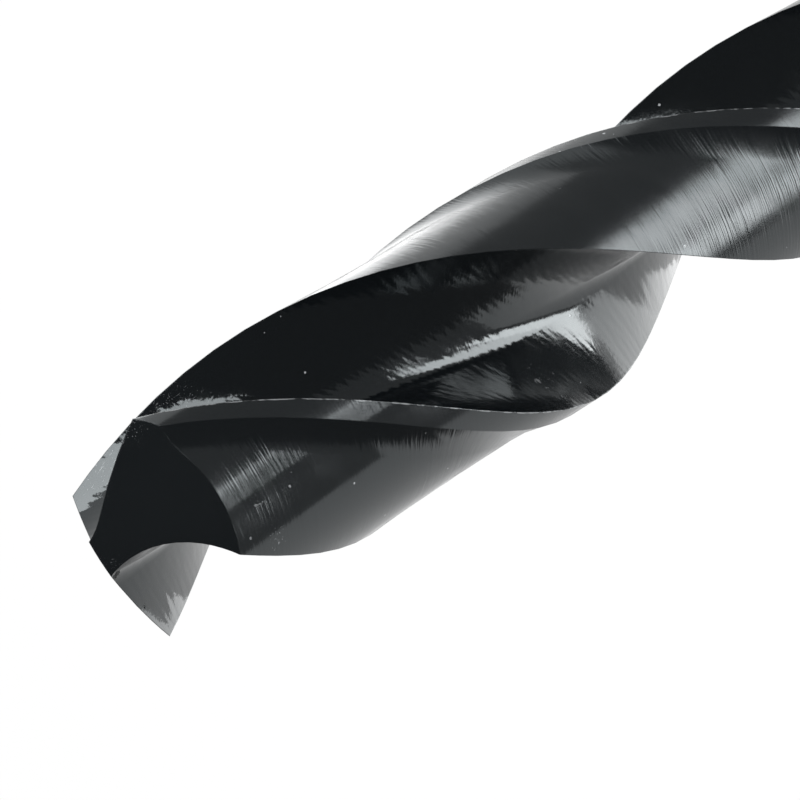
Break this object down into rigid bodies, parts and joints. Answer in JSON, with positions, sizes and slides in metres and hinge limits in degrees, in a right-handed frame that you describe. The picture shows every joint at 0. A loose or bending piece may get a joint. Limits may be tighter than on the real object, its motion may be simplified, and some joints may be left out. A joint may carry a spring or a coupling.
{
  "type": "twist drill bit",
  "caption": "Right-hand twist drill bit with a straight shank, helical flutes and a ground point, for drilling metal.",
  "frame": {"origin": "centre of the shank end's flat, on the drill's axis", "axes": "+Z along the drill's axis, from the shank end to the chisel edge; +X towards the outer corner of one lip"},
  "size_m": [0.01, 0.01, 0.133],
  "materials": {
    "black_oxide_steel": "black oxide over ground and milled steel, semi-gloss"
  },
  "bodies": {
    "root": {"twist_drill": "black_oxide_steel"}
  },
  "joints": []
}
